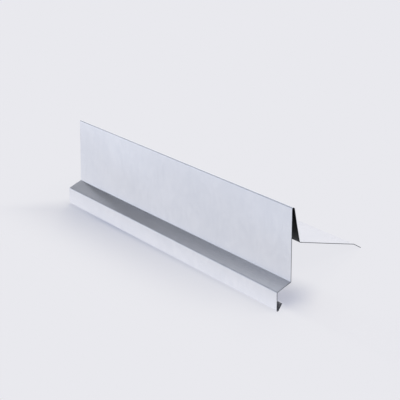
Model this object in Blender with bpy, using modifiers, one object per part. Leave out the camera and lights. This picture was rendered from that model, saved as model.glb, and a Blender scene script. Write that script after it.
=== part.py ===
"""Verge flashing: one length of galvanised sheet, folded along its length.

The section runs from the drip hem at the foot, up the lower fascia, in over the sloping drip step
and up the tall upper fascia. A tight fold turns it down into the upstand behind, and the roof flange
runs back from the upstand's foot to a short lip.

Metres, +Z up. The length lies along X, and the weather face looks towards -Y. Nothing holds the
piece, so it leans back until both the hem and the flange lip touch the floor.
"""
import math

import bmesh
import bpy
import numpy as np

# The stock
LENGTH = 0.500
SHEET = 0.0007

# Widths of the legs, on the sheet's middle surface. Each runs from corner to corner, or to the
# furthest reach of a fold that is tighter than a right angle.
HEM_LIP = 0.0095
LOWER_FASCIA = 0.0205
DRIP_STEP = 0.0190
UPPER_FASCIA = 0.0800
UPSTAND = 0.0390
ROOF_FLANGE = 0.0705
FLANGE_LIP = 0.0105

# Angles in degrees, with the fascia plumb as it is on the roof
HEM_OPENING = 31.0
STEP_FALL = 27.0
FOLD_OPENING = 11.0
FLANGE_FALL = 10.0
LIP_TURN = 19.5

# Inside radii of the bends
HEM_RADIUS = 0.0007
BEND_RADIUS = 0.0010
FOLD_RADIUS = 0.0010

# The widest turn, in degrees, that one flat facet of a bend takes
FACET_TURN = 10.0

SHEET_COLOUR = (0.78, 0.80, 0.85, 1.0)
SHEET_ROUGHNESS = 0.28


def clear_scene():
    for obj in list(bpy.data.objects):
        bpy.data.objects.remove(obj, do_unlink=True)


def sheet_material():
    """Bright galvanised steel, with a satin skin."""
    material = bpy.data.materials.new("galvanised_steel")
    material.use_nodes = True
    shader = material.node_tree.nodes["Principled BSDF"]
    shader.inputs["Base Color"].default_value = SHEET_COLOUR
    shader.inputs["Metallic"].default_value = 1.0
    shader.inputs["Roughness"].default_value = SHEET_ROUGHNESS
    return material


def setback(turn, radius):
    """How much of a leg's width a bend of this turn takes, on the middle surface."""
    return radius * math.tan(math.radians(min(abs(turn), 90.0)) / 2)


def section_line():
    """The middle surface across the section, as points (y, z) from the hem's edge to the lip's.

    Headings are in degrees: 0 points to the back and 90 points up.
    """
    legs = [
        (HEM_LIP, -90.0 - HEM_OPENING),
        (LOWER_FASCIA, 90.0),
        (DRIP_STEP, STEP_FALL),
        (UPPER_FASCIA, 90.0),
        (UPSTAND, -90.0 + FOLD_OPENING),
        (ROOF_FLANGE, -FLANGE_FALL),
        (FLANGE_LIP, -FLANGE_FALL - LIP_TURN),
    ]
    inside_radii = [HEM_RADIUS, BEND_RADIUS, BEND_RADIUS, FOLD_RADIUS, BEND_RADIUS, BEND_RADIUS]
    radii = [inside + SHEET / 2 for inside in inside_radii]
    headings = [heading for _, heading in legs]
    turns = [(after - before + 180.0) % 360.0 - 180.0 for before, after in zip(headings, headings[1:])]
    setbacks = [0.0] + [setback(turn, radius) for turn, radius in zip(turns, radii)] + [0.0]

    points = [(0.0, 0.0)]

    def move(distance, heading):
        y, z = points[-1]
        angle = math.radians(heading)
        points.append((y + distance * math.cos(angle), z + distance * math.sin(angle)))

    for index, (width, heading) in enumerate(legs):
        move(width - setbacks[index] - setbacks[index + 1], heading)
        if index == len(turns):
            break
        facets = math.ceil(abs(turns[index]) / FACET_TURN)
        facet_turn = turns[index] / facets
        chord = 2 * radii[index] * math.sin(math.radians(abs(facet_turn)) / 2)
        for facet in range(facets):
            move(chord, heading + facet_turn * (facet + 0.5))
    return np.array(points)


def folded_sheet(line, collection):
    """The section line drawn along X into an open strip, and thickened evenly to both sides."""
    strip = bmesh.new()
    corners = [strip.verts.new((-LENGTH / 2, y, z)) for y, z in line]
    edges = [strip.edges.new(pair) for pair in zip(corners, corners[1:])]
    drawn = bmesh.ops.extrude_edge_only(strip, edges=edges)["geom"]
    bmesh.ops.translate(strip, vec=(LENGTH, 0.0, 0.0),
                        verts=[item for item in drawn if isinstance(item, bmesh.types.BMVert)])
    for face in strip.faces:
        face.smooth = True
    for edge in strip.edges:
        edge.smooth = not edge.is_boundary
    mesh = bpy.data.meshes.new("flashing_sheet")
    strip.to_mesh(mesh)
    strip.free()
    mesh.materials.append(sheet_material())

    sheet = bpy.data.objects.new("flashing_sheet", mesh)
    collection.objects.link(sheet)
    thickness = sheet.modifiers.new("thickness", "SOLIDIFY")
    thickness.thickness = SHEET
    thickness.offset = 0.0
    thickness.use_even_offset = True
    return sheet


def centre_of_mass(line):
    """The centre (y, z) of a sheet of even thickness: each stretch of the line counts by its length."""
    stretches = np.linalg.norm(np.diff(line, axis=0), axis=1)
    middles = (line[1:] + line[:-1]) / 2
    return stretches @ middles / stretches.sum()


def lay_on_floor(sheet, line):
    """Lean the sheet onto the floor, centred on the origin.

    The floor touches one point in front of the centre of mass and one behind it: of all such pairs,
    the one whose chord passes lowest under the centre.
    """
    bpy.context.view_layer.update()
    evaluated = sheet.evaluated_get(bpy.context.evaluated_depsgraph_get())
    outline = np.array([vertex.co[1:] for vertex in evaluated.data.vertices])
    centre = centre_of_mass(line)
    front = outline[outline[:, 0] < centre[0]][:, None, :]
    back = outline[outline[:, 0] >= centre[0]][None, :, :]
    slope = (back - front)[..., 1] / (back - front)[..., 0]
    height = front[..., 1] + slope * (centre[0] - front[..., 0])
    lean = math.atan(slope.flat[np.argmin(height)])

    y = outline[:, 0] * math.cos(lean) + outline[:, 1] * math.sin(lean)
    z = outline[:, 1] * math.cos(lean) - outline[:, 0] * math.sin(lean)
    sheet.rotation_euler = (-lean, 0.0, 0.0)
    sheet.location = (0.0, -(y.min() + y.max()) / 2, -z.min())


def main():
    clear_scene()
    collection = bpy.data.collections.new("verge_flashing")
    bpy.context.scene.collection.children.link(collection)
    line = section_line()
    sheet = folded_sheet(line, collection)
    lay_on_floor(sheet, line)


main()
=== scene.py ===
"""Looks of the verge flashing: the folded sheet in bright galvanised steel, on a plain pale floor.

Lengths are metres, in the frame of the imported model: +X along the length, the weather face towards
-Y, +Z up, with the piece resting on its hem and its flange lip.
"""

import math

import bpy
import numpy as np
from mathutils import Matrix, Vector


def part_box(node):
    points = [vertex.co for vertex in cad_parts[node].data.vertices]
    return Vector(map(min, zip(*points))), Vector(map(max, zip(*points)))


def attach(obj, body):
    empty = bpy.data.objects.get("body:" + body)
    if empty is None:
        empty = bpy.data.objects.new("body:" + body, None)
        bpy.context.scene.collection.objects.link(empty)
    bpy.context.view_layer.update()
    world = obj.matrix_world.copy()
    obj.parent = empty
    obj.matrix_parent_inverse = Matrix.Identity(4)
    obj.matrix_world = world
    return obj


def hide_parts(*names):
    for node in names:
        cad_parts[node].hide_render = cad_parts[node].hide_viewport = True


# The stock, as the solid has it
LENGTH = 0.500
SHEET = 0.0007

# The legs from the hem's edge to the flange lip's: hem lip, lower fascia, drip step, upper fascia,
# upstand, roof flange, flange lip. Widths are on the middle surface, and headings are in degrees
# with the fascia plumb, where 0 points to the back and 90 up.
WIDTHS = np.array([0.0095, 0.0205, 0.0190, 0.0800, 0.0390, 0.0705, 0.0105])
HEADINGS = np.radians([-121.0, 90.0, 27.0, 90.0, -79.0, -10.0, -29.5])
INSIDE_RADII = np.array([0.0007, 0.0010, 0.0010, 0.0010, 0.0010, 0.0010])

# How far each bend's colour darkens, from the hem to the lip: crazed zinc, and painted shade on the
# bend
BEND_CRAZING_AND_SHADE = np.array([0.05, 0.35, 0.60, 0.05, 0.10, 0.05])

# How deep the painted shade lies in the top fold and the hem: how far from its corner each reaches,
# over what stretch it fades, how strong it is in the hem, and what part of that the hem's bend has
FOLD_REACH = 0.0435
FOLD_FADE = 0.002
HEM_REACH = 0.012
HEM_FADE = 0.003
HEM_SHADE_STRENGTH = 0.66
HEM_BEND_PART = 0.6

# The finer form: how far the shears round the cut edges, and the steps of the grid. A short step at
# both ends of a flat keeps it flat up to its bends, and the even rows stop an end step from the ends
CUT_ROUNDING = 0.00012
ROUNDING_STEPS = 4
FLAT_STEP = 0.004
SHORT_STEP = 0.0003
BEND_STEP = math.radians(6)
LENGTH_STEP = 0.005
END_STEP = 0.0004

# How far the flats and the hem's free edge stray from true, the width from which a flat strays in
# full, and the two slow waves along the length, which shift from flat to flat
FLAT_WAVE = 0.00012
EDGE_WAVE = 0.00010
FULL_WAVE_WIDTH = 0.040
WAVE_LENGTHS = (0.310, 0.173)
WAVE_SHIFTS = (1.3, 2.1)

# The zinc: its skin between its darkest and lightest patches, crazed and with painted shade along a
# bend, and painted shade deep in a fold. The sheared edge: its torn and burnished steel, and painted
# shade near the folds
ZINC_COLOURS = ("#E5E6EA", "#F0F0F2")
CRAZED_AND_SHADED_COLOUR = "#B2B4B8"
FOLD_SHADE_COLOUR = "#363839"
EDGE_COLOURS = ("#4C4F53", "#66696E")
EDGE_SHADE_COLOUR = "#2E3033"

# Sizes of the patterns on the metal
CRYSTAL_SIZE = 0.007
PATCH_SIZE = 0.060
STREAK_LENGTH = 0.030
STREAK_WIDTH = 0.0025
GRAIN_SIZE = 0.0008
TEAR_SIZE = 0.0004

# The zinc's tone is its patches with these parts of crystals and streaks, and this range of it spans
# its colours. Its relief is its grain with this part of crystals
CRYSTAL_PART = 0.25
STREAK_PART = 0.45
TONE_RANGE = (0.45, 1.25)
CRYSTAL_RELIEF = 0.6
GRAIN_STRENGTH = 0.06
GRAIN_HEIGHT = 0.00005

# The zinc's roughness, and what its grain, a bend and a fold add. The cut edge runs from burnished
# to torn, and is all painted shade at this depth of a fold
ZINC_ROUGHNESS = 0.21
GRAIN_ROUGHNESS = 0.06
BEND_ROUGHNESS = 0.06
FOLD_ROUGHNESS = 0.10
EDGE_ROUGHNESS = (0.32, 0.52)
TEAR_STRENGTH = 0.3
TEAR_HEIGHT = 0.00003
EDGE_SHADE_DEPTH = 0.9

# The camera looks at the piece as the photograph does, with the fascia upright in the picture
CAMERA_PLACE = (1.48617, -0.54649, 0.82999)
CAMERA_TURN = (60.5524, 23.2081, 56.8303)
CAMERA_LENS = 135.0
SENSOR_WIDTH = 36.0
CAMERA_CLIP = 50.0

# What the eye sees of floor and background
BACKGROUND = "#E9E9EE"
FLOOR_REACH = 6.0
PAPER_WHITENESS = 0.95

# The share of the floor's tone that is its own glow, between places across. This glow is painted
# light:
# by place it fills in the piece's shadows, lets them show in full under the drip, and shapes them past
# the far end. Close in front it grows from the far end to the near end, and further out it grows to
# all. Under the drip it falls to nothing. Behind the drip it rises again, earlier by the slants
# towards and past the far end
FRONT_SHARES = (0.03, 0.78)
FRONT_PLACES = (-0.15, -0.076)
DRIP_PLACES = (-0.056, -0.044)
BEHIND_SHARE = 0.94
BEHIND_PLACES = (-0.0585, -0.0225)
GLOW_SLANT = 0.078
END_SLANT = 0.42

# The least share of red, green and blue that glows, which leaves the shadows a little bluer
SHADOW_TINT = np.array([0.0, 0.03, 0.13])

# What the metal mirrors of the floor: a little more than its tone, and far out in front much less
MIRRORED_GLOW = 0.19
MIRRORED_PLACES = (-0.32, -0.13)
MIRRORED_FAR = 0.62

# The studio. A direction is a compass angle from +X and a height, in degrees. A backdrop has its
# centre, the cosines of the angles from it at which it starts and is full, and its gain. The ceiling
# starts and is full at these sines of the height
WALL_LEVEL = 0.46
WALL_COLOUR = "#E6EDFF"
BACKDROPS = (((176.0, 0.0), (0.72, 0.86), 0.75),
             ((-124.0, 8.0), (0.89, 1.0), 0.82),
             ((150.0, 46.0), (0.92, 1.0), 0.42))
BACKDROP_COLOUR = "#F4F7FF"
CEILING_LEVEL = 0.62
CEILING_SINES = (0.45, 0.90)
FLAG_CENTRE = (170.8, 27.8)
FLAG_RADIUS = 15.7

# Name, compass angle, height, spread, share of the floor's light, and colour
SOFTBOXES = (("key_softbox", 36.0, 30.0, 30.0, 0.302, "#FFFCF4"),
             ("back_softbox", 110.0, 50.0, 38.0, 0.273, "#FFF5D8"))


def linear(hex_colour):
    """Linear RGBA from an sRGB hex colour."""
    parts = np.array([int(hex_colour[i:i + 2], 16) for i in (1, 3, 5)]) / 255
    low = parts / 12.92
    high = ((parts + 0.055) / 1.055) ** 2.4
    return (*np.where(parts <= 0.04045, low, high).tolist(), 1.0)


def add(tree, kind, settings=None, **inputs):
    """Adds one node. settings are its own values; inputs are socket names, with _ for a space, or
    in0, in1 for a socket by number. An input is a value or another node's output socket."""
    node = tree.nodes.new(kind)
    for name, value in (settings or {}).items():
        setattr(node, name, value)
    for name, value in inputs.items():
        numbered = name.startswith("in") and name[2:].isdigit()
        socket = node.inputs[int(name[2:]) if numbered else name.replace("_", " ")]
        if isinstance(value, bpy.types.NodeSocket):
            tree.links.new(value, socket)
        else:
            socket.default_value = value
    return node


def toward(compass, height):
    """The unit vector of a direction."""
    flat, up = math.radians(compass), math.radians(height)
    return (math.cos(flat) * math.cos(up), math.sin(flat) * math.cos(up), math.sin(up))


def new_material(name):
    """An empty material, its node tree and its output node."""
    material = bpy.data.materials.new(name)
    material.use_nodes = True
    tree = material.node_tree
    tree.nodes.clear()
    return material, tree, add(tree, "ShaderNodeOutputMaterial")


def middle_line():
    """The sheet's middle surface across the section, as four arrays.

    A leg is equal steps on one heading, with a short step at each end, and a bend is short chords
    whose heading turns evenly. The line (y, z) is the running sum of the steps, the reach is the
    running sum of their lengths, bend is a bend's crazing and painted shade on its points and 0 on a
    flat, and courses are the steps' headings.
    """
    turns = (np.diff(HEADINGS) + np.pi) % (2 * np.pi) - np.pi
    radii = INSIDE_RADII + SHEET / 2
    setbacks = radii * np.tan(np.minimum(np.abs(turns), np.pi / 2) / 2)
    flats = WIDTHS - np.append(0, setbacks) - np.append(setbacks, 0)
    steps, courses, bent = [], [], []
    for leg, flat in enumerate(flats):
        inner = max(2, round(flat / FLAT_STEP))
        steps += [[SHORT_STEP], np.full(inner, (flat - 2 * SHORT_STEP) / inner), [SHORT_STEP]]
        courses.append(np.full(inner + 2, HEADINGS[leg]))
        bent.append(np.zeros(inner + 2))
        if leg < len(turns):
            chords = math.ceil(abs(turns[leg]) / BEND_STEP)
            steps.append(np.full(chords, 2 * radii[leg] * math.sin(abs(turns[leg]) / chords / 2)))
            courses.append(HEADINGS[leg] + turns[leg] * (np.arange(chords) + 0.5) / chords)
            bent.append(np.full(chords, BEND_CRAZING_AND_SHADE[leg]))
    steps, courses, bent = np.concatenate(steps), np.concatenate(courses), np.concatenate(bent)
    moves = steps[:, None] * np.column_stack([np.cos(courses), np.sin(courses)])
    line = np.vstack([[0, 0], np.cumsum(moves, axis=0)])
    reach = np.append(0, np.cumsum(steps))
    bend = np.minimum(np.append(bent, 0), np.append(0, bent))
    return line, reach, bend, courses


def even_normals(courses):
    """At each point of the line, the direction that keeps the thickness even round a bend: the sum
    of the two neighbouring normals, divided by 1 plus their cosine."""
    normals = np.column_stack([-np.sin(courses), np.cos(courses)])
    before = np.vstack([normals[:1], normals])
    after = np.vstack([normals, normals[-1:]])
    return (before + after) / (1 + (before * after).sum(1, keepdims=True))


def lean_on_floor(points, line):
    """The angle that the piece leans back by: the chord between a point in front of the centre of
    mass and one behind it that passes lowest under the centre becomes level."""
    stretches = np.linalg.norm(np.diff(line, axis=0), axis=1)
    centre = stretches @ ((line[1:] + line[:-1]) / 2) / stretches.sum()
    front = points[points[:, 0] < centre[0]][:, None]
    back = points[points[:, 0] >= centre[0]][None]
    slope = (back - front)[..., 1] / (back - front)[..., 0]
    under = front[..., 1] + slope * (centre[0] - front[..., 0])
    return math.atan(slope.flat[np.argmin(under)])


def fold_depth(reach):
    """How deep a point of the inner side lies in the top fold or the hem, which sets how much painted
    shade and roughness it gets.

    In the top fold it is 1, and falls as a smooth step to 0 at the mouth. In the hem it is less, grows
    from the bend to the lip's edge, and falls to 0 past it.
    """
    corners = np.cumsum(WIDTHS)
    top_fold = np.clip((FOLD_REACH - np.abs(reach - corners[3])) / FOLD_FADE, 0, 1)
    from_bend = np.abs(reach - corners[0])
    growth = HEM_BEND_PART + (1 - HEM_BEND_PART) * from_bend / WIDTHS[0]
    hem = np.clip((HEM_REACH - from_bend) / HEM_FADE, 0, 1) * HEM_SHADE_STRENGTH * growth
    return np.maximum(top_fold ** 2 * (3 - 2 * top_fold), hem ** 2 * (3 - 2 * hem))


def waves(reach, along, bend):
    """How far the sheet strays from true, along its normal, on the grid of reach by along.

    Each flat bows by a sine-squared swell that dies out at its bends, times slow sines along the
    length. The hem lip's swell grows from its bend to its free edge.
    """
    starts = np.flatnonzero(np.diff(bend) != 0)
    edges = np.concatenate([[0], reach[starts], [reach[-1]]])
    rise = np.zeros((len(reach), len(along)))
    for flat in range(len(WIDTHS)):
        low, high = edges[2 * flat], edges[2 * flat + 1]
        place = np.clip((reach - low) / (high - low), 0, 1)
        if flat == 0:
            swell = np.cos(np.pi / 2 * place) ** 2 * EDGE_WAVE * (reach <= high)
        else:
            swell = np.sin(np.pi * place) ** 2 * FLAT_WAVE * min(1, WIDTHS[flat] / FULL_WAVE_WIDTH)
        slow = np.sin(2 * np.pi * along / WAVE_LENGTHS[0] + WAVE_SHIFTS[0] * flat)
        slow += 0.5 * np.sin(2 * np.pi * along / WAVE_LENGTHS[1] + WAVE_SHIFTS[1] * flat)
        rise += swell[:, None] * slow[None]
    return rise


def sheet_surface():
    """Corner places (side, point, row), strip places and bend marks of the folded sheet.

    One side of the section is the middle line moved by half the thickness along its normal, the
    other by minus that. At the cut edges the half thickness falls as a quarter circle. The rows
    carry the section along X, and the last rows shrink by the same quarter circle.
    """
    line, reach, bend, courses = middle_line()
    normals = even_normals(courses)
    quarter = np.linspace(0, np.pi / 2, ROUNDING_STEPS + 1)
    inset = CUT_ROUNDING * (1 - np.sin(quarter))
    fall = CUT_ROUNDING * (1 - np.cos(quarter))

    inner = reach[(reach > 2 * CUT_ROUNDING) & (reach < reach[-1] - 2 * CUT_ROUNDING)]
    strip = np.concatenate([fall, inner, reach[-1] - fall[::-1]])
    half = np.concatenate([SHEET / 2 - inset, np.full(len(inner), SHEET / 2), SHEET / 2 - inset[::-1]])
    rows = np.linspace(-1, 1, 2 * round(LENGTH / LENGTH_STEP / 2) + 1) * (LENGTH / 2 - END_STEP)
    along = np.concatenate([-LENGTH / 2 + fall, rows, LENGTH / 2 - fall[::-1]])
    shrink = np.concatenate([inset, np.zeros(len(rows)), inset[::-1]])

    span = reach[-1]
    placed = shrink[None] + strip[:, None] * (1 - 2 * shrink[None] / span)
    rise = waves(strip, along, np.interp(strip, reach, bend))
    sides = []
    for side in (1, -1):
        offset = side * (half[:, None] - shrink[None]) + rise
        y = np.interp(placed, reach, line[:, 0]) + offset * np.interp(placed, reach, normals[:, 0])
        z = np.interp(placed, reach, line[:, 1]) + offset * np.interp(placed, reach, normals[:, 1])
        sides.append(np.stack([np.broadcast_to(along, y.shape), y, z], axis=-1))
    places = np.stack(sides)

    true_outline = np.vstack([line + normals * SHEET / 2, line - normals * SHEET / 2])
    lean = lean_on_floor(true_outline, line)
    turn = np.array([[math.cos(lean), math.sin(lean)], [-math.sin(lean), math.cos(lean)]])
    outline = true_outline @ turn.T
    low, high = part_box("flashing_sheet")
    shift = np.array([(low.y + high.y) / 2 - (outline[:, 0].min() + outline[:, 0].max()) / 2,
                      low.z - outline[:, 1].min()])
    places[..., 1:] = places[..., 1:] @ turn.T + shift
    return places, strip, along, np.interp(strip, reach, bend)


def build_sheet():
    """The folded sheet as one closed mesh: two sides, joined at both strip edges and both ends."""
    places, strip, along, bend = sheet_surface()
    points, rows = len(strip), len(along)
    number = np.arange(2 * points * rows).reshape(2, points, rows)
    ring = np.concatenate([number[0], number[1][::-1]])
    after = np.roll(ring, -1, axis=0)
    skin = np.stack([ring[:, :-1], ring[:, 1:], after[:, 1:], after[:, :-1]], axis=-1)
    front, back = number
    near = np.stack([front[:-1, -1], back[:-1, -1], back[1:, -1], front[1:, -1]], axis=-1)
    far = np.stack([front[:-1, 0], front[1:, 0], back[1:, 0], back[:-1, 0]], axis=-1)
    faces = np.concatenate([skin.reshape(-1, 4), near, far])

    mesh = bpy.data.meshes.new("folded_sheet")
    mesh.from_pydata(places.reshape(-1, 3).tolist(), [], faces.tolist())
    mesh.polygons.foreach_set("use_smooth", np.ones(len(faces), dtype=bool))

    cut = np.zeros((2 * points, rows - 1), dtype=bool)
    cut[:ROUNDING_STEPS] = cut[points - ROUNDING_STEPS - 1:points + ROUNDING_STEPS] = True
    cut[-ROUNDING_STEPS - 1:] = True
    cut[:, :ROUNDING_STEPS] = cut[:, -ROUNDING_STEPS:] = True
    slots = np.concatenate([cut.ravel(), np.ones(len(near) + len(far), dtype=bool)]).astype(np.int32)
    mesh.polygons.foreach_set("material_index", slots)

    side, point, row = np.unravel_index(np.arange(number.size), number.shape)
    strip_place = np.column_stack([strip[point] * (1 - 2 * side), along[row]])
    corners = np.empty(len(mesh.loops), dtype=np.int32)
    mesh.loops.foreach_get("vertex_index", corners)
    uv = mesh.uv_layers.new(name="strip")
    uv.data.foreach_set("uv", strip_place[corners].astype(np.float32).ravel())
    # bend carries the crazing and painted shade of the bends
    marks = mesh.attributes.new("bend", "FLOAT", "POINT")
    marks.data.foreach_set("value", bend[point].astype(np.float32))
    # The depth in a fold carries the painted shade of the top fold and the hem
    marks = mesh.attributes.new("fold_depth", "FLOAT", "POINT")
    marks.data.foreach_set("value", (fold_depth(strip)[point] * side).astype(np.float32))
    mesh.validate()
    piece = bpy.data.objects.new("folded_sheet", mesh)
    bpy.context.scene.collection.objects.link(piece)
    return piece


def galvanised_steel():
    """Bright hot-dip galvanised steel, rolled smooth after the zinc bath. It mirrors softly, and its
    zinc crystals show only as faint mottling, with fainter streaks where the bath was wiped."""
    material, tree, output = new_material("bright_galvanised_steel")
    strip = add(tree, "ShaderNodeUVMap", {"uv_map": "strip"}).outputs["UV"]
    bend = add(tree, "ShaderNodeAttribute", {"attribute_name": "bend"}).outputs["Fac"]
    depth = add(tree, "ShaderNodeAttribute", {"attribute_name": "fold_depth"}).outputs["Fac"]

    # Zinc crystals, flattened by the rolls
    crystals = add(tree, "ShaderNodeTexVoronoi", {"feature": "SMOOTH_F1"}, Vector=strip,
                   Scale=1 / CRYSTAL_SIZE, Smoothness=0.4)
    crystal_tone = add(tree, "ShaderNodeSeparateColor", Color=crystals.outputs["Color"]).outputs["Red"]
    # Patches of slightly heavier coating
    patches = add(tree, "ShaderNodeTexNoise", Vector=strip, Scale=1 / PATCH_SIZE, Detail=3.0,
                  Roughness=0.55)
    # Wiping streaks, which run across the strip
    stretched = add(tree, "ShaderNodeMapping", Vector=strip,
                    Scale=(1 / STREAK_LENGTH, 1 / STREAK_WIDTH, 1.0))
    streaks = add(tree, "ShaderNodeTexNoise", Vector=stretched.outputs["Vector"], Scale=1.0,
                  Detail=2.0)
    # The matt grain that the rolls print. It is 0.1 mm on the real sheet, and coarser here to show
    grain = add(tree, "ShaderNodeTexNoise", Vector=strip, Scale=1 / GRAIN_SIZE, Detail=2.0,
                Roughness=0.6)

    tone = add(tree, "ShaderNodeMath", {"operation": "MULTIPLY_ADD"}, in0=crystal_tone,
               in1=CRYSTAL_PART, in2=patches.outputs["Fac"])
    tone = add(tree, "ShaderNodeMath", {"operation": "MULTIPLY_ADD"}, in0=streaks.outputs["Fac"],
               in1=STREAK_PART, in2=tone.outputs[0])
    open_zinc = add(tree, "ShaderNodeMapRange", Value=tone.outputs[0], From_Min=TONE_RANGE[0],
                    From_Max=TONE_RANGE[1])
    colour = add(tree, "ShaderNodeMix", {"data_type": "RGBA"}, in0=open_zinc.outputs["Result"],
                 in6=linear(ZINC_COLOURS[0]), in7=linear(ZINC_COLOURS[1]))
    # Along the bends it is darker: partly crazed zinc, partly painted shade on the bend ridges
    colour = add(tree, "ShaderNodeMix", {"data_type": "RGBA"}, in0=bend, in6=colour.outputs[2],
                 in7=linear(CRAZED_AND_SHADED_COLOUR))
    # Painted shade: inside the folds the zinc is darkened, deeper in towards the corner
    colour = add(tree, "ShaderNodeMix", {"data_type": "RGBA"}, in0=depth, in6=colour.outputs[2],
                 in7=linear(FOLD_SHADE_COLOUR))
    rough = add(tree, "ShaderNodeMath", {"operation": "MULTIPLY_ADD"}, in0=grain.outputs["Fac"],
                in1=GRAIN_ROUGHNESS, in2=ZINC_ROUGHNESS)
    rough = add(tree, "ShaderNodeMath", {"operation": "MULTIPLY_ADD"}, in0=bend,
                in1=BEND_ROUGHNESS, in2=rough.outputs[0])
    rough = add(tree, "ShaderNodeMath", {"operation": "MULTIPLY_ADD"}, in0=depth,
                in1=FOLD_ROUGHNESS, in2=rough.outputs[0])
    relief = add(tree, "ShaderNodeMath", {"operation": "MULTIPLY_ADD"}, in0=crystal_tone,
                 in1=CRYSTAL_RELIEF, in2=grain.outputs["Fac"])
    bump = add(tree, "ShaderNodeBump", Strength=GRAIN_STRENGTH, Distance=GRAIN_HEIGHT,
               Height=relief.outputs[0])
    shader = add(tree, "ShaderNodeBsdfPrincipled", Base_Color=colour.outputs[2], Metallic=1.0,
                 Roughness=rough.outputs[0], Normal=bump.outputs["Normal"])
    tree.links.new(shader.outputs["BSDF"], output.inputs["Surface"])
    return material


def sheared_edge():
    """The sheet's cut edge: bare steel, half burnished by the shear and half torn, so it is a darker
    and duller grey than the zinc."""
    material, tree, output = new_material("sheared_steel_edge")
    place = add(tree, "ShaderNodeTexCoord").outputs["Object"]
    torn = add(tree, "ShaderNodeTexNoise", Vector=place, Scale=1 / TEAR_SIZE, Detail=3.0,
               Roughness=0.7)
    colour = add(tree, "ShaderNodeMix", {"data_type": "RGBA"}, in0=torn.outputs["Fac"],
                 in6=linear(EDGE_COLOURS[0]), in7=linear(EDGE_COLOURS[1]))
    # Painted shade darkens it where it borders the top fold or the hem
    depth = add(tree, "ShaderNodeAttribute", {"attribute_name": "fold_depth"}).outputs["Fac"]
    edge_shade = add(tree, "ShaderNodeMapRange", Value=depth, From_Min=0.0, From_Max=EDGE_SHADE_DEPTH)
    colour = add(tree, "ShaderNodeMix", {"data_type": "RGBA"}, in0=edge_shade.outputs["Result"],
                 in6=colour.outputs[2], in7=linear(EDGE_SHADE_COLOUR))
    rough = add(tree, "ShaderNodeMapRange", Value=torn.outputs["Fac"], To_Min=EDGE_ROUGHNESS[0],
                To_Max=EDGE_ROUGHNESS[1])
    bump = add(tree, "ShaderNodeBump", Strength=TEAR_STRENGTH, Distance=TEAR_HEIGHT,
               Height=torn.outputs["Fac"])
    shader = add(tree, "ShaderNodeBsdfPrincipled", Base_Color=colour.outputs[2], Metallic=1.0,
                 Roughness=rough.outputs["Result"], Normal=bump.outputs["Normal"])
    tree.links.new(shader.outputs["BSDF"], output.inputs["Surface"])
    return material


def seen_directly(tree):
    """1 for a ray from the camera, from a mirror-like surface or through glass, and 0 otherwise."""
    ray = add(tree, "ShaderNodeLightPath")
    either = add(tree, "ShaderNodeMath", {"operation": "MAXIMUM"}, in0=ray.outputs["Is Camera Ray"],
                 in1=ray.outputs["Is Glossy Ray"])
    return add(tree, "ShaderNodeMath", {"operation": "MAXIMUM"}, in0=either.outputs[0],
               in1=ray.outputs["Is Transmission Ray"]).outputs[0]


def glow_share(tree, along, across):
    """The share of the floor's tone that is its own glow, at a place along X and across: painted light
    that fills in the shadows by place.

    From the front to the back it is a smooth step down from all to the front's share, one down to
    nothing under the drip, and one up to most behind it. The front's share grows evenly along X. The
    step up moves forward evenly towards the far end, and faster past it.
    """
    front = add(tree, "ShaderNodeMapRange", Value=along, From_Min=-LENGTH / 2, From_Max=LENGTH / 2,
                To_Min=FRONT_SHARES[0], To_Max=FRONT_SHARES[1])
    outward = add(tree, "ShaderNodeMapRange", {"interpolation_type": "SMOOTHSTEP"}, Value=across,
                  From_Min=FRONT_PLACES[0], From_Max=FRONT_PLACES[1],
                  To_Min=1.0, To_Max=front.outputs["Result"])
    fall = add(tree, "ShaderNodeMapRange", {"interpolation_type": "SMOOTHSTEP"}, Value=across,
               From_Min=DRIP_PLACES[0], From_Max=DRIP_PLACES[1],
               To_Min=outward.outputs["Result"], To_Max=0.0)
    slanted = add(tree, "ShaderNodeMath", {"operation": "MULTIPLY_ADD"}, in0=along, in1=-GLOW_SLANT,
                  in2=across)
    past_end = add(tree, "ShaderNodeMapRange", Value=along, From_Min=-LENGTH, From_Max=-LENGTH / 2,
                   To_Min=END_SLANT * LENGTH / 2, To_Max=0.0)
    behind = add(tree, "ShaderNodeMath", {"operation": "ADD"}, in0=past_end.outputs["Result"],
                 in1=slanted.outputs[0])
    rise = add(tree, "ShaderNodeMapRange", {"interpolation_type": "SMOOTHSTEP"},
               Value=behind.outputs[0], From_Min=BEHIND_PLACES[0], From_Max=BEHIND_PLACES[1],
               To_Min=0.0, To_Max=BEHIND_SHARE)
    return add(tree, "ShaderNodeMath", {"operation": "MAXIMUM"}, in0=fall.outputs["Result"],
               in1=rise.outputs["Result"]).outputs[0]


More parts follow.
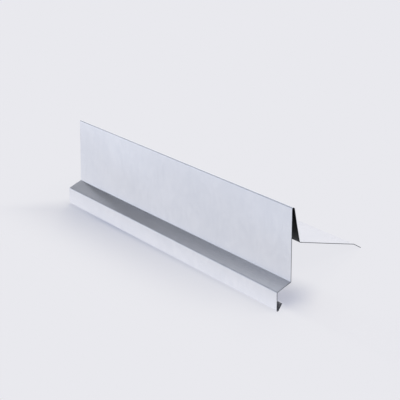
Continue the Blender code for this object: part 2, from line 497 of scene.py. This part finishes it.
def build_floor():
    """A plain pale floor, one level square. Part of its tone is its own glow and the rest is paper in
    the studio's light, so that its shadows are light and a little blue. Wherever no shadow falls, both
    together give the background's tone."""
    mesh = bpy.data.meshes.new("floor")
    corners = FLOOR_REACH * np.array([(-1, -1, 0), (1, -1, 0), (1, 1, 0), (-1, 1, 0)])
    mesh.from_pydata(corners.tolist(), [], [(0, 1, 2, 3)])
    floor = bpy.data.objects.new("floor", mesh)
    bpy.context.scene.collection.objects.link(floor)

    material, tree, output = new_material("pale_studio_paper")
    tone = linear(BACKGROUND)
    glow_tone = np.array(tone[:3])
    paper_tone = PAPER_WHITENESS * glow_tone
    place = add(tree, "ShaderNodeTexCoord").outputs["Object"]
    place = add(tree, "ShaderNodeSeparateXYZ", Vector=place)
    across = place.outputs["Y"]
    share = add(tree, "ShaderNodeVectorMath", {"operation": "MULTIPLY_ADD"},
                in0=glow_share(tree, place.outputs["X"], across),
                in1=tuple(1 - SHADOW_TINT), in2=tuple(SHADOW_TINT))
    share = add(tree, "ShaderNodeVectorMath", {"operation": "MULTIPLY"}, in0=share.outputs[0],
                in1=seen_directly(tree))
    glowing = add(tree, "ShaderNodeVectorMath", {"operation": "MULTIPLY"}, in0=share.outputs[0],
                  in1=tuple(glow_tone))
    lit = add(tree, "ShaderNodeVectorMath", {"operation": "MULTIPLY_ADD"}, in0=share.outputs[0],
              in1=tuple(-paper_tone), in2=tuple(paper_tone))
    glow = add(tree, "ShaderNodeEmission", Color=glowing.outputs[0], Strength=1.0)
    paper = add(tree, "ShaderNodeBsdfDiffuse", Color=lit.outputs[0])
    surface = add(tree, "ShaderNodeAddShader", in0=paper.outputs[0], in1=glow.outputs[0])

    # The metal mirrors the paper a little brighter near the piece, and darker far out in front
    glossy = add(tree, "ShaderNodeLightPath").outputs["Is Glossy Ray"]
    sheen = add(tree, "ShaderNodeMath", {"operation": "MULTIPLY"}, in0=glossy, in1=MIRRORED_GLOW)
    mirrored = add(tree, "ShaderNodeEmission", Color=tone, Strength=sheen.outputs[0])
    surface = add(tree, "ShaderNodeAddShader", in0=surface.outputs[0], in1=mirrored.outputs[0])
    far_out = add(tree, "ShaderNodeMapRange", {"interpolation_type": "SMOOTHSTEP"}, Value=across,
                  From_Min=MIRRORED_PLACES[0], From_Max=MIRRORED_PLACES[1],
                  To_Min=1 - MIRRORED_FAR, To_Max=0.0)
    dimmed = add(tree, "ShaderNodeMath", {"operation": "MULTIPLY"}, in0=glossy,
                 in1=far_out.outputs["Result"])
    surface = add(tree, "ShaderNodeMixShader", in0=dimmed.outputs[0], in1=surface.outputs[0])
    tree.links.new(surface.outputs[0], output.inputs["Surface"])
    mesh.materials.append(material)


def build_world():
    """A pale studio. Seen directly by the camera it is the background tone. What lights the piece,
    and mirrors in the metal, is plain walls with three brighter backdrops, an even ceiling, and one
    soft black flag that the drip step mirrors. A backdrop's gain and the flag's depth fall off as
    smooth steps of the cosine of the angle from their centres."""
    world = bpy.data.worlds.new("studio")
    bpy.context.scene.world = world
    world.use_nodes = True
    tree = world.node_tree
    tree.nodes.clear()
    output = add(tree, "ShaderNodeOutputWorld")
    direction = add(tree, "ShaderNodeTexCoord").outputs["Generated"]
    height = add(tree, "ShaderNodeSeparateXYZ", Vector=direction).outputs["Z"]
    walls = WALL_LEVEL
    for centre, span, gain in BACKDROPS:
        facing = add(tree, "ShaderNodeVectorMath", {"operation": "DOT_PRODUCT"}, in0=direction,
                     in1=toward(*centre)).outputs["Value"]
        backdrop = add(tree, "ShaderNodeMapRange", {"interpolation_type": "SMOOTHSTEP"}, Value=facing,
                       From_Min=span[0], From_Max=span[1], To_Min=0.0, To_Max=gain)
        walls = add(tree, "ShaderNodeMath", {"operation": "ADD"}, in0=backdrop.outputs["Result"],
                    in1=walls).outputs[0]
    ceiling = add(tree, "ShaderNodeMapRange", {"interpolation_type": "SMOOTHSTEP"}, Value=height,
                  From_Min=CEILING_SINES[0], From_Max=CEILING_SINES[1], To_Min=0.0, To_Max=1.0)
    open_level = add(tree, "ShaderNodeMix", {"data_type": "FLOAT"}, Factor=ceiling.outputs["Result"],
                     A=walls, B=CEILING_LEVEL)
    facing = add(tree, "ShaderNodeVectorMath", {"operation": "DOT_PRODUCT"}, in0=direction,
                 in1=toward(*FLAG_CENTRE)).outputs["Value"]
    flag = add(tree, "ShaderNodeMapRange", {"interpolation_type": "SMOOTHSTEP"}, Value=facing,
               From_Min=math.cos(math.radians(FLAG_RADIUS)), From_Max=1.0, To_Min=1.0, To_Max=0.0)
    level = add(tree, "ShaderNodeMath", {"operation": "MULTIPLY"}, in0=open_level.outputs["Result"],
                in1=flag.outputs["Result"])
    gained = add(tree, "ShaderNodeMapRange", Value=walls, From_Min=WALL_LEVEL,
                 From_Max=WALL_LEVEL + 1.0)
    colour = add(tree, "ShaderNodeMix", {"data_type": "RGBA"}, in0=gained.outputs["Result"],
                 in6=linear(WALL_COLOUR), in7=linear(BACKDROP_COLOUR))
    studio = add(tree, "ShaderNodeBackground", Color=colour.outputs[2], Strength=level.outputs[0])
    plain = add(tree, "ShaderNodeBackground", Color=linear(BACKGROUND), Strength=1.0)
    camera_ray = add(tree, "ShaderNodeLightPath").outputs["Is Camera Ray"]
    mixed = add(tree, "ShaderNodeMixShader", in0=camera_ray, in1=studio.outputs[0],
                in2=plain.outputs[0])
    tree.links.new(mixed.outputs[0], output.inputs["Surface"])


def add_softbox(name, compass, height, spread, light_on_floor, colour):
    """A wide soft lamp, far off in the given direction. It gives a level floor the given share of
    full light, where full light shows a colour as it is written. The metal doesn't mirror the lamp
    itself, which would burn out there, but the world's plain walls behind it."""
    lamp = bpy.data.lights.new(name, "SUN")
    lamp.energy = light_on_floor * math.pi / math.sin(math.radians(height))
    lamp.angle = math.radians(spread)
    lamp.color = linear(colour)[:3]
    softbox = bpy.data.objects.new(name, lamp)
    bpy.context.scene.collection.objects.link(softbox)
    softbox.rotation_euler = (math.radians(90 - height), 0.0, math.radians(compass + 90))
    softbox.visible_glossy = False


def add_camera():
    """The camera at the photograph's viewing angle."""
    camera = bpy.data.cameras.new("camera")
    camera.lens = CAMERA_LENS
    camera.sensor_width = SENSOR_WIDTH
    camera.clip_end = CAMERA_CLIP
    view = bpy.data.objects.new("camera", camera)
    bpy.context.scene.collection.objects.link(view)
    view.location = CAMERA_PLACE
    view.rotation_euler = [math.radians(angle) for angle in CAMERA_TURN]
    bpy.context.scene.camera = view


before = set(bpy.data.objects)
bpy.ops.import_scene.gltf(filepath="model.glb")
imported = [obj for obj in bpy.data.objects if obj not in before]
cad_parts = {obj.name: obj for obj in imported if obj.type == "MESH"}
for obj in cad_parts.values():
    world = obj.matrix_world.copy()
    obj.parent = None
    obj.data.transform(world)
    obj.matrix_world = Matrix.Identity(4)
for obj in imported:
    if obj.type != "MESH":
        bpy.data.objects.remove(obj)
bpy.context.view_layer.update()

bpy.context.scene.view_settings.view_transform = "Standard"
add_camera()
build_world()
build_floor()
for softbox in SOFTBOXES:
    add_softbox(*softbox)

sheet = build_sheet()
sheet.data.materials.append(galvanised_steel())
sheet.data.materials.append(sheared_edge())
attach(sheet, "root")
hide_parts("flashing_sheet")
